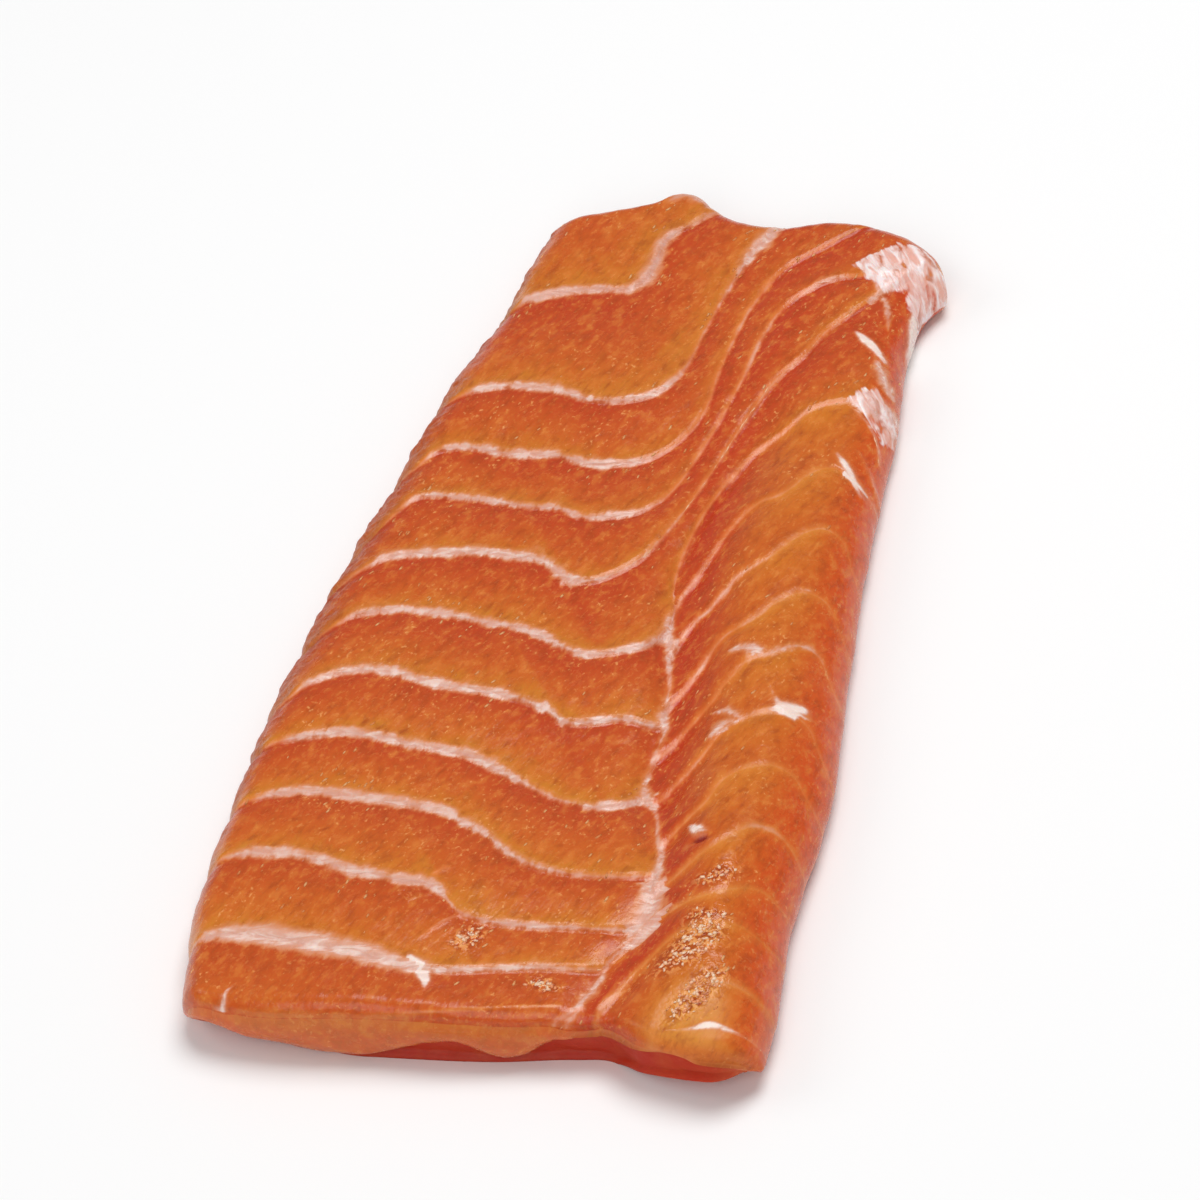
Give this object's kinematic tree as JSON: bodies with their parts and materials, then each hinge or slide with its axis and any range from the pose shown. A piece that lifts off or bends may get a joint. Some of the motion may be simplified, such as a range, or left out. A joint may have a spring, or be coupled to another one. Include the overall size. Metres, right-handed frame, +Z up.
{
  "type": "salmon escalope",
  "caption": "Raw salmon escalope: a long flat slice of fillet with pale flake lines, a seam valley and a crest that rolls down to its right edge. It lies flat.",
  "frame": {"origin": "middle of the bottom of the slice's box, on the surface it lies on", "axes": "+Z up out of the surface it lies on, +Y along the slice towards its narrow end, +X across it towards the rolled edge"},
  "size_m": [0.0832, 0.1728, 0.0132],
  "materials": {
    "salmon_flesh": "moist raw flesh, orange with pale fat lines and a wet sheen"
  },
  "bodies": {
    "root": {"escalope": "salmon_flesh"}
  },
  "joints": []
}
